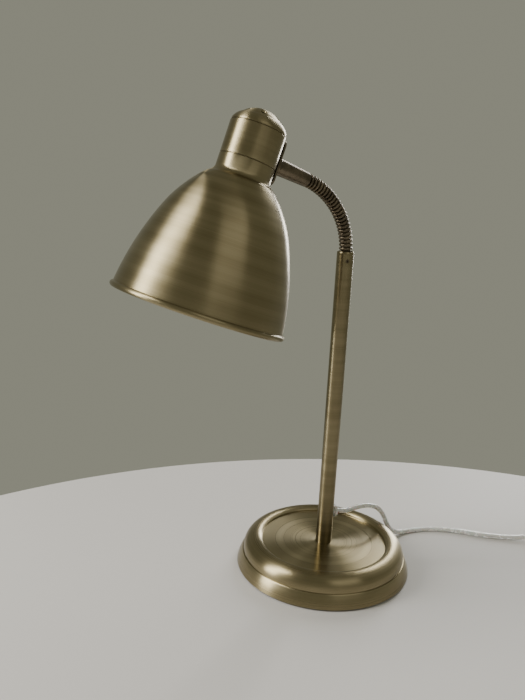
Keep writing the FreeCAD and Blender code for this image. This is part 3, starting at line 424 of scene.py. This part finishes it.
def lathe(name, line, place, materials, inner=None):
    """A surface of revolution: the point of the outline with radius r and height h stands,
    at turn a, at (r cos a, r sin a, h) in its own frame. inner tells which rows are lined."""
    turns = np.linspace(0.0, 2 * math.pi, TURN_STEPS, endpoint=False)
    radius = line[:, 0][:, None]
    height = np.repeat(line[:, 1][:, None], TURN_STEPS, axis=1)
    grid = np.stack([radius * np.cos(turns), radius * np.sin(turns), height], axis=2)
    points = grid.reshape(-1, 3) @ np.array(place.to_3x3()).T + np.array(place.translation)
    rows = np.arange(len(line))[:, None]
    cols = np.arange(TURN_STEPS)[None, :]
    after_row = (rows + 1) % len(line)
    after_col = (cols + 1) % TURN_STEPS
    quads = np.stack([
        rows * TURN_STEPS + cols, after_row * TURN_STEPS + cols,
        after_row * TURN_STEPS + after_col, rows * TURN_STEPS + after_col], axis=2)
    mesh = bpy.data.meshes.new(name)
    mesh.from_pydata(points, [], quads.reshape(-1, 4)[:, ::-1].tolist())
    mesh.shade_smooth()
    mesh.set_sharp_from_angle(angle=CRISP)
    for material in materials:
        mesh.materials.append(material)
    if inner is not None:
        lined = np.repeat(np.asarray(inner, np.int32), TURN_STEPS)
        mesh.polygons.foreach_set("material_index", lined)
    thing = bpy.data.objects.new(name, mesh)
    bpy.context.collection.objects.link(thing)
    return thing


def make_bell():
    """The spun bell: collar, waist, shoulder, side and rolled rim outside, enamel inside.
    Each stretch between two corners is a circle's arc through both."""
    wall = SHADE_WALL
    side, floor = RIM
    outer = outline(
        [(COLLAR, -1.3), (COLLAR, -6.9), (23.15, -6.9), (NECK_RADIUS, -7.15), WAIST],
        arc(WAIST, SHOULDER, 9.0, 1)[1:],
        arc(SHOULDER, HIP, 110.0, -1, 40)[1:],
        arc(HIP, (side + wall / 2, floor), 252.0, -1, 60)[1:],
    )
    bead = np.linspace(math.radians(68), math.radians(-190), 28)
    rim = outline(np.stack(
        [side + BEAD_RADIUS * np.cos(bead), floor + BEAD_RADIUS * np.sin(bead)], axis=1))
    inner_hip = (HIP[0] - 0.9 * wall, -56.4)
    inner_shoulder = (SHOULDER[0] - 0.8, -23.7)
    inner = outline(
        arc((side - wall / 2, -130.0), inner_hip, 251.0, 1, 60),
        arc(inner_hip, inner_shoulder, 109.0, 1, 40)[1:],
        arc(inner_shoulder, (COLLAR - wall, -17.9), 10.0, -1)[1:],
        [(COLLAR - wall, -1.3)],
    )
    keep_outer = outer[outer[:, 1] > rim[0, 1]]
    line = np.concatenate([keep_outer, rim, inner])
    is_inner = np.arange(len(line)) >= len(keep_outer) + len(rim) - 2
    bell = lathe("spun_bell", line, HEAD, [BRASS_SHADE, ENAMEL], is_inner)
    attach(bell, "head")
    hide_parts("shade_bell")


def make_sleeve():
    """The plain tube of the neck, between two thin seams."""
    ease = 0.2
    inside = NECK_RADIUS - 1.0
    line = outline([
        (inside, NECK_LOW), (NECK_RADIUS - ease, NECK_LOW), (NECK_RADIUS, NECK_LOW + ease),
        (NECK_RADIUS, NECK_TOP - ease), (NECK_RADIUS - ease, NECK_TOP), (inside, NECK_TOP)])
    sleeve = lathe("neck_tube", line, HEAD, [BRASS_SHADE])
    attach(sleeve, "head")
    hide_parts("neck_sleeve")


def sphere_radius(edge, rise):
    """The radius of the ball whose cap is that high and as wide as its edge: the sum of the
    squares of edge and rise, over twice the rise."""
    return (edge ** 2 + rise ** 2) / (2 * rise)


def make_vent_bits():
    """Six round bars, one every sixth of a turn, on the ring where the vents are bored.
    Each is a circle of VENT_STEPS points at both ends, joined side to side."""
    turns = np.linspace(0.0, 2 * math.pi, VENT_COUNT, endpoint=False)
    circle_turns = np.linspace(0.0, 2 * math.pi, VENT_STEPS, endpoint=False)
    middle = VENT_RING * np.stack([np.cos(turns), np.sin(turns)], axis=1)
    circle = VENT_RADIUS * np.stack([np.cos(circle_turns), np.sin(circle_turns)], axis=1)
    flat = middle[:, None, :] + circle[None, :, :]
    ends = np.stack([
        np.concatenate([flat, np.full((*flat.shape[:2], 1), high)], axis=2)
        for high in (CAP_LOW - 2.0, CAP_LOW + 12.0)], axis=1) * MM
    points = ends.reshape(-1, 3) @ np.array(HEAD.to_3x3()).T + np.array(HEAD.translation)
    step = np.arange(VENT_STEPS)
    after = (step + 1) % VENT_STEPS
    faces = []
    for vent in range(VENT_COUNT):
        bottom = vent * 2 * VENT_STEPS
        top = bottom + VENT_STEPS
        sides = [bottom + step, bottom + after, top + after, top + step]
        faces += np.stack(sides, axis=1).tolist()
        faces.append((bottom + step[::-1]).tolist())
        faces.append((top + step).tolist())
    mesh = bpy.data.meshes.new("vent_bits")
    mesh.from_pydata(points, [], faces)
    bits = bpy.data.objects.new("vent_bits", mesh)
    bpy.context.collection.objects.link(bits)
    return bits


def make_cap():
    """The domed top: a narrow band, a round shoulder and a sphere's cap, with six vents
    bored down through it."""
    wall = SHADE_WALL
    low = CAP_LOW
    inner_edge = (15.9, low + 7.2)
    dome = sphere_radius(CAP_EDGE[0], CAP_RISE)
    inner_dome = sphere_radius(inner_edge[0], CAP_RISE)
    line = outline(
        [(COLLAR, CAP_PLUG_LOW), (COLLAR, low - 0.05), (22.8, low), (CAP_RADIUS, low + 0.2),
         (CAP_RADIUS, low + 1.4)],
        arc((CAP_RADIUS, low + 1.4), CAP_EDGE, 13.0, 1, 16)[1:],
        arc(CAP_EDGE, (AXIS_GAP, low + 14.9), dome, 1, 24)[1:],
        arc((AXIS_GAP, low + 13.9), inner_edge, inner_dome, -1, 24),
        arc(inner_edge, (COLLAR - wall, low + 0.4), 12.0, -1, 12)[1:],
        [(COLLAR - wall, CAP_PLUG_LOW)],
    )
    cap = lathe("vent_dome", line, HEAD, [BRASS_SHADE])
    bits = make_vent_bits()
    bored = cap.modifiers.new("vents", "BOOLEAN")
    bored.operation = "DIFFERENCE"
    bored.solver = "EXACT"
    bored.object = bits
    bpy.context.view_layer.update()
    seen = cap.evaluated_get(bpy.context.evaluated_depsgraph_get())
    drilled = bpy.data.meshes.new_from_object(seen)
    cap.modifiers.clear()
    cap.data = drilled
    bpy.data.objects.remove(bits)
    cap.data.shade_smooth()
    cap.data.set_sharp_from_angle(angle=CRISP)
    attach(cap, "head")
    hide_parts("vent_cap")


def make_foot():
    """The spun foot: flared skirt, dark groove, rolled crown and the sunken disc."""
    line = outline(
        arc((85.0, 1.6), (80.2, 14.2), 38.0, 1),
        [(79.9, 14.4), (79.3, 14.4), (79.3, 15.4)],
        arc((79.3, 15.4), (67.5, 28.8), 13.0, 1, 40)[1:],
        arc((67.5, 28.8), (61.7, 26.6), 7.0, 1, 20)[1:],
        [(61.5, 26.4), (61.5, 24.9), (61.2, 24.6), (5.2, 24.6), (5.2, 23.4), (62.7, 23.4),
         (62.7, 25.4)],
        arc((62.7, 25.4), (67.5, 27.6), 5.8, -1, 16)[1:],
        arc((67.5, 27.6), (78.1, 15.4), 11.8, -1, 30)[1:],
        [(78.1, 13.8), (83.8, 1.6)],
    )
    foot = lathe("spun_foot", line, UPRIGHT, [BRASS_FOOT])
    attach(foot, "stand")
    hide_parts("base_shell")


# ---------------------------------------------------------------- the lead

def beside_switch(along, aside, high):
    """A point of the put-away lead: along its last heading and to the left, in mm."""
    ahead = Vector((math.cos(LEAD_TURN), math.sin(LEAD_TURN), 0.0))
    left = Vector((-math.sin(LEAD_TURN), math.cos(LEAD_TURN), 0.0))
    return LEAD_END + ahead * along + left * aside + Vector((0.0, 0.0, high))


def coil_points():
    """The turns: each lies in its own place in the section and moves to the next one
    over the last fifth of the turn."""
    points = []
    for step in range(1, int(COIL_TURNS * COIL_POINTS) + 1):
        turn = step / COIL_POINTS
        index = min(int(turn), len(COIL_CELLS) - 1)
        after = min(index + 1, len(COIL_CELLS) - 1)
        part = min(max((turn - index - 0.70) / 0.30, 0.0), 1.0)
        ease = part * part * (3 - 2 * part)
        column = COIL_CELLS[index][0] * (1 - ease) + COIL_CELLS[after][0] * ease
        layer = COIL_CELLS[index][1] * (1 - ease) + COIL_CELLS[after][1] * ease
        radius = COIL_RADIUS + LEAD_THICK * column
        angle = 2 * math.pi * turn - math.pi / 2
        points.append(beside_switch(
            COIL_ALONG + radius * math.cos(angle), COIL_RADIUS + radius * math.sin(angle),
            COIL_LOW + LEAD_THICK * layer))
    return points


def make_lead():
    """One mains lead: out of the gland, through the switch, round the coil, to the plug."""
    points = [Vector(point) for point in ROUTE]
    for along in (20.0, 46.0, SWITCH_SPAN - 6.0, SWITCH_SPAN + 4.0):
        points.append(beside_switch(along, 0.0, SWITCH_LINE))
    points.append(beside_switch(SWITCH_SPAN + 14.0, 0.0, 6.4))
    points.append(beside_switch(COIL_ALONG - 9.0, 0.0, COIL_LOW + 0.2))
    points += coil_points()
    points.append(beside_switch(COIL_ALONG - 9.0, 2 * COIL_RADIUS, 13.0))
    points.append(beside_switch(SWITCH_SPAN + 14.0, 2 * COIL_RADIUS, 9.2))
    points.append(beside_switch(SWITCH_SPAN + 5.0, 2 * COIL_RADIUS, PLUG_LINE))
    points.append(beside_switch(SWITCH_SPAN - 8.0, 2 * COIL_RADIUS, PLUG_LINE))
    curve = bpy.data.curves.new("mains_lead", "CURVE")
    curve.dimensions = "3D"
    spline = curve.splines.new("NURBS")
    spline.points.add(len(points) - 1)
    for knot, point in zip(spline.points, points):
        knot.co = (*(point * MM), 1.0)
    spline.order_u = 3
    spline.use_endpoint_u = True
    spline.resolution_u = 6
    curve.bevel_depth = LEAD_THICK / 2 * MM
    curve.bevel_resolution = 5
    curve.use_fill_caps = True
    curve.materials.append(FINISHES["clear_pvc"])
    lead = bpy.data.objects.new("mains_lead", curve)
    bpy.context.collection.objects.link(lead)
    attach(lead, "stand")
    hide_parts("cord_run", "cord_ends", "cord_coil")


# ---------------------------------------------------------------- stage, light, camera

def make_stage():
    """A round pale table top with the lead's coil on it, and a plain wall far behind."""
    rim = np.linspace(0.0, 2 * math.pi, TABLE_STEPS, endpoint=False)
    top = np.stack([TABLE_MIDDLE[0] + TABLE_RADIUS * np.cos(rim),
                    TABLE_MIDDLE[1] + TABLE_RADIUS * np.sin(rim), 0.0 * rim], axis=1)
    mesh = bpy.data.meshes.new("table_top")
    mesh.from_pydata(top, [], [list(range(TABLE_STEPS))])
    mesh.materials.append(pale_floor())
    table = bpy.data.objects.new("table_top", mesh)
    bpy.context.collection.objects.link(table)
    world = bpy.data.worlds.new("room")
    world.use_nodes = True
    back = world.node_tree.nodes["Background"]
    back.inputs["Color"].default_value = rgb(0.250, 0.250, 0.196)
    back.inputs["Strength"].default_value = 1.0
    bpy.context.scene.world = world


def area_light(name, place, target, width, height, power, colour):
    """A rectangle of light at place that faces target; sizes in metres, power in watts."""
    data = bpy.data.lights.new(name, "AREA")
    data.shape = "RECTANGLE"
    data.size = width
    data.size_y = height
    data.energy = power
    data.color = colour
    light = bpy.data.objects.new(name, data)
    bpy.context.collection.objects.link(light)
    light.location = place
    light.rotation_mode = "QUATERNION"
    light.rotation_quaternion = (Vector(target) - Vector(place)).to_track_quat("-Z", "Y")


def make_lights():
    """A tall soft window at the left, a narrow one behind on the right, a weak fill."""
    target = (-0.05, 0.0, 0.22)
    area_light("window", (-1.45, 0.50, 1.10), target, 0.55, 2.2, 46.0, (1.0, 0.99, 0.96))
    area_light("back_window", (1.5, 0.95, 0.9), target, 0.4, 1.8, 24.0, (1.0, 1.0, 1.0))
    area_light("fill", (0.1, -1.8, 1.9), target, 1.6, 1.2, 5.0, (1.0, 0.97, 0.92))


def make_camera():
    """The view from a little above, in front of the shade and to its left."""
    right = Vector((0.85189, -0.52150, 0.04819))
    up = Vector((0.09572, 0.24550, 0.96466))
    ahead = Vector((0.51490, 0.81717, -0.25906))
    data = bpy.data.cameras.new("camera")
    data.lens = 39.09
    data.sensor_width = 36.0
    camera = bpy.data.objects.new("camera", data)
    bpy.context.collection.objects.link(camera)
    turn = Matrix((right, up, -ahead)).transposed()
    camera.matrix_world = Matrix.Translation((-0.42390, -0.54114, 0.40075)) @ turn.to_4x4()
    bpy.context.scene.camera = camera


dress_frame()
make_bell()
make_sleeve()
make_cap()
make_foot()
make_lead()
make_stage()
make_lights()
make_camera()
